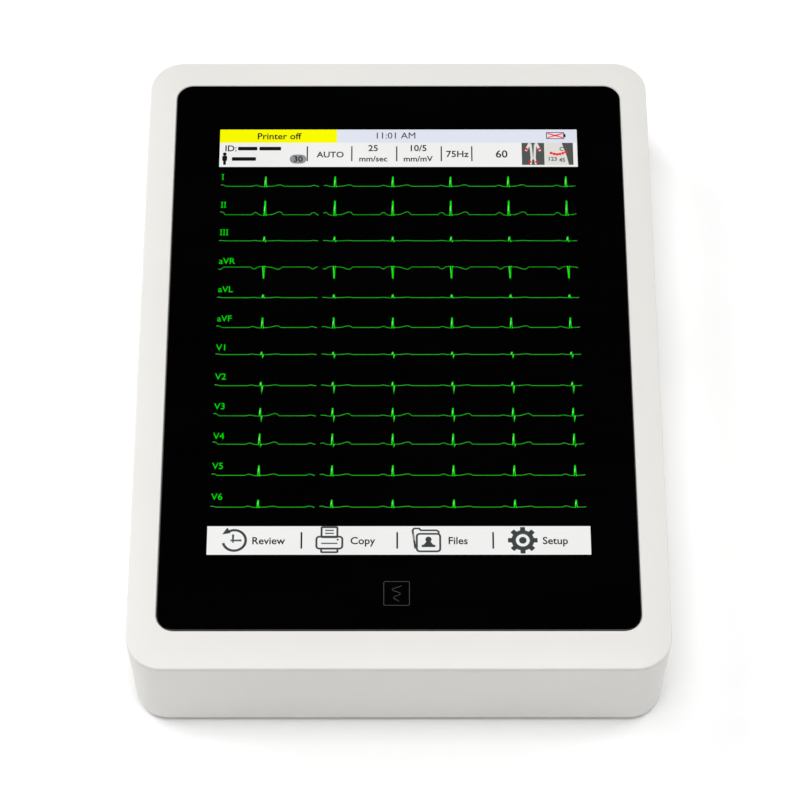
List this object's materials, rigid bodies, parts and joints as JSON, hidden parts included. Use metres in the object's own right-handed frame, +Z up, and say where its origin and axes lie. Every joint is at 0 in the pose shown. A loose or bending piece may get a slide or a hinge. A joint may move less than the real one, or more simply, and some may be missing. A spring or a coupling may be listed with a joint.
{
  "type": "ecg machine",
  "caption": "Flat portable ECG recorder with a glass touch front showing lead traces, a rear paper door over a thermal printer, and side sockets.",
  "frame": {"origin": "middle of the footprint, on the surface the rubber feet stand on", "axes": "+X to the user's right, +Y away from the user towards the paper door, +Z up"},
  "size_m": [0.258, 0.348, 0.0639],
  "materials": {
    "bezel_plastic": "fine satin texture, warm off-white",
    "housing_plastic": "fine satin texture, warm off-white",
    "door_plastic": "fine satin texture, warm off-white",
    "lock_plastic": "smooth grey",
    "dark_plastic": "satin black",
    "gear_plastic": "natural white nylon or acetal",
    "battery_wrap": "blue shrink sleeve",
    "cover_glass": "polished, black printed behind",
    "display_face": "display module, anti-glare polariser",
    "foam_tape": "closed-cell foam tape",
    "foot_rubber": "moulded, matt",
    "platen_rubber": "ground silicone rubber",
    "zinc_steel": "zinc-plated sheet",
    "screw_steel": "plated fasteners",
    "shaft_steel": "ground rod",
    "spring_steel": "spring wire",
    "aluminium": "milled",
    "brass": "turned",
    "nickel_brass": "nickel-plated contacts",
    "bushing_bronze": "sintered bronze",
    "board_green": "glass-epoxy board, solder resist",
    "chip_black": "moulded components",
    "ceramic_head": "glazed alumina strip",
    "thermal_paper": "plain thermal paper",
    "core_card": "wound card tube",
    "ribbon_cable": "flat cable"
  },
  "bodies": {
    "case": {"battery_door": "door_plastic", "battery_door_screws": "screw_steel", "battery_pack": "battery_wrap", "board_screws": "screw_steel", "connector_posts": "screw_steel", "cover_glass": "cover_glass", "display_cable": "ribbon_cable", "ecg_board": "board_green", "ecg_shield": "zinc_steel", "equipotential_nut": "screw_steel", "equipotential_pin": "nickel_brass", "feed_motor": "zinc_steel", "frame_screws": "screw_steel", "front_bezel": "bezel_plastic", "glass_gasket": "foam_tape", "head_beam": "zinc_steel", "head_springs": "spring_steel", "hinge_pin": "shaft_steel", "housing_screws": "screw_steel", "key_board": "board_green", "lan_socket": "zinc_steel", "lcd_bracket": "zinc_steel", "lcd_panel": "display_face", "lcd_screws": "screw_steel", "lower_housing": "housing_plastic", "main_board": "board_green", "main_board_chips": "chip_black", "mains_inlet": "dark_plastic", "mains_inlet_blades": "nickel_brass", "paper_web": "thermal_paper", "patient_connector": "dark_plastic", "power_supply_board": "board_green", "power_supply_parts": "chip_black", "power_switch": "dark_plastic", "print_head_cable": "ribbon_cable", "printer_frame": "zinc_steel", "rubber_feet": "foot_rubber", "speaker": "dark_plastic", "switch_board": "board_green", "tear_bar": "shaft_steel", "trolley_inserts": "brass", "usb_sockets": "zinc_steel"},
    "paper_door": {"paper_door": "door_plastic", "platen_bushings": "bushing_bronze"},
    "platen": {"platen_shaft": "shaft_steel", "platen_rubber": "platen_rubber", "platen_gear": "gear_plastic"},
    "idler_gear": {"idler_gear": "gear_plastic"},
    "transfer_gear": {"transfer_gear": "gear_plastic"},
    "motor_pinion": {"motor_pinion": "brass"},
    "paper_roll": {"paper_roll": "thermal_paper", "roll_core": "core_card", "roll_hubs": "gear_plastic"},
    "left_door_lock": {"left_door_lock": "lock_plastic"},
    "right_door_lock": {"right_door_lock": "lock_plastic"},
    "print_head": {"print_head_plate": "aluminium", "print_head_ceramic": "ceramic_head"},
    "power_button": {"power_button": "lock_plastic"}
  },
  "joints": [
    {"name": "paper_door_hinge", "type": "hinge", "parent": "case", "child": "paper_door", "pos_m": [0, 0.17071, 0.009], "axis": [-1, 0, 0], "range_deg": [0, 88]},
    {"name": "roll_spin", "type": "hinge", "parent": "case", "child": "paper_roll", "pos_m": [0, 0.126, 0.0285], "axis": [1, 0, 0], "continuous": true},
    {"name": "platen_spin", "type": "hinge", "parent": "paper_door", "child": "platen", "pos_m": [0, 0.161, 0.044], "axis": [1, 0, 0], "continuous": true},
    {"name": "idler_spin", "type": "hinge", "parent": "case", "child": "idler_gear", "pos_m": [0.1111, 0.1452, 0.03961], "axis": [1, 0, 0], "continuous": true},
    {"name": "transfer_spin", "type": "hinge", "parent": "case", "child": "transfer_gear", "pos_m": [0.1111, 0.1169, 0.0285], "axis": [1, 0, 0], "continuous": true},
    {"name": "motor_spin", "type": "hinge", "parent": "case", "child": "motor_pinion", "pos_m": [0.1111, 0.09129, 0.024], "axis": [1, 0, 0], "continuous": true},
    {"name": "left_lock_slide", "type": "slide", "parent": "paper_door", "child": "left_door_lock", "axis": [-1, 0, 0], "range_m": [0, 0.0035]},
    {"name": "right_lock_slide", "type": "slide", "parent": "paper_door", "child": "right_door_lock", "axis": [1, 0, 0], "range_m": [0, 0.0035]},
    {"name": "print_head_pivot", "type": "hinge", "parent": "case", "child": "print_head", "pos_m": [0, 0.145, 0.0535], "axis": [1, 0, 0], "range_deg": [0, 2], "stiffness_Nm_per_rad": 2, "springref_deg": -2.86},
    {"name": "power_button_press", "type": "slide", "parent": "case", "child": "power_button", "axis": [-1, 0, 0], "range_m": [0, 0.0006], "stiffness_N_per_m": 1500, "springref_m": -0.0003}
  ],
  "couplings": [
    {"joint": "platen_spin", "follows": "roll_spin", "ratio": 3},
    {"joint": "idler_spin", "follows": "roll_spin", "ratio": -1.92},
    {"joint": "transfer_spin", "follows": "roll_spin", "ratio": 0.94118},
    {"joint": "motor_spin", "follows": "roll_spin", "ratio": -3.4286}
  ]
}
